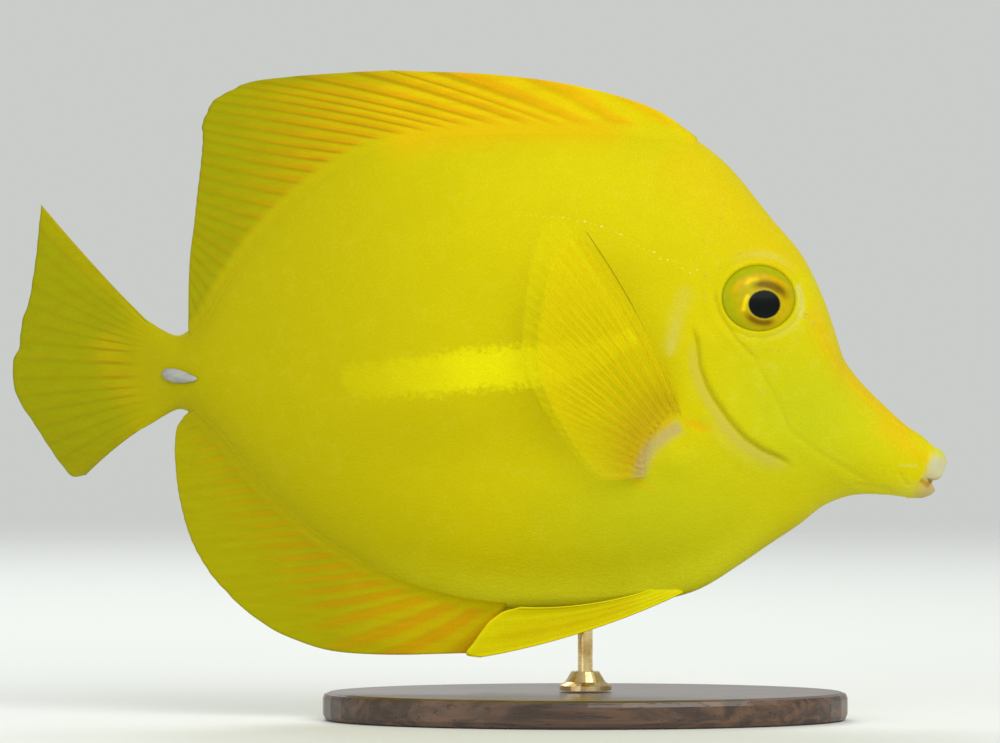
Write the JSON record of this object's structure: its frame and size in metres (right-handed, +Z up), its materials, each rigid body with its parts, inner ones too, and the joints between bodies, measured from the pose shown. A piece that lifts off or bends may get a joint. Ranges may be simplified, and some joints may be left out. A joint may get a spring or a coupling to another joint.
{
  "type": "yellow tang",
  "caption": "Life-size still model of a yellow tang, a flat oval reef fish with a beak-like snout and ribbed sail-like fins, held level on a rod over a flat oval display base.",
  "frame": {"origin": "the floor under the middle of the fish's whole length, on its middle plane, at the underside of the stand's base", "axes": "+Z up, +X towards the snout, +Y to the fish's left side"},
  "size_m": [0.1503, 0.052, 0.1038],
  "materials": {
    "skin": "satin lemon yellow skin with a fine velvety grain",
    "fin": "satin yellow fin web with orange rays",
    "lip": "satin pinkish white lip",
    "eye": "wet gloss over a gold and olive iris with a black pupil",
    "blade": "smooth bone white",
    "wood": "oiled dark walnut",
    "brass": "brushed"
  },
  "bodies": {
    "root": {"head": "skin", "trunk": "skin", "tail_stalk": "skin", "lip_upper": "lip", "lip_lower": "lip", "eye_right": "eye", "eye_left": "eye", "dorsal_fin": "fin", "anal_fin": "fin", "caudal_fin": "fin", "pectoral_fin_right": "fin", "pectoral_fin_left": "fin", "pelvic_fin_right": "fin", "pelvic_fin_left": "fin", "tail_blade_right": "blade", "tail_blade_left": "blade", "stand_base": "wood", "stand_rod": "brass", "stand_collar": "brass"}
  },
  "joints": []
}
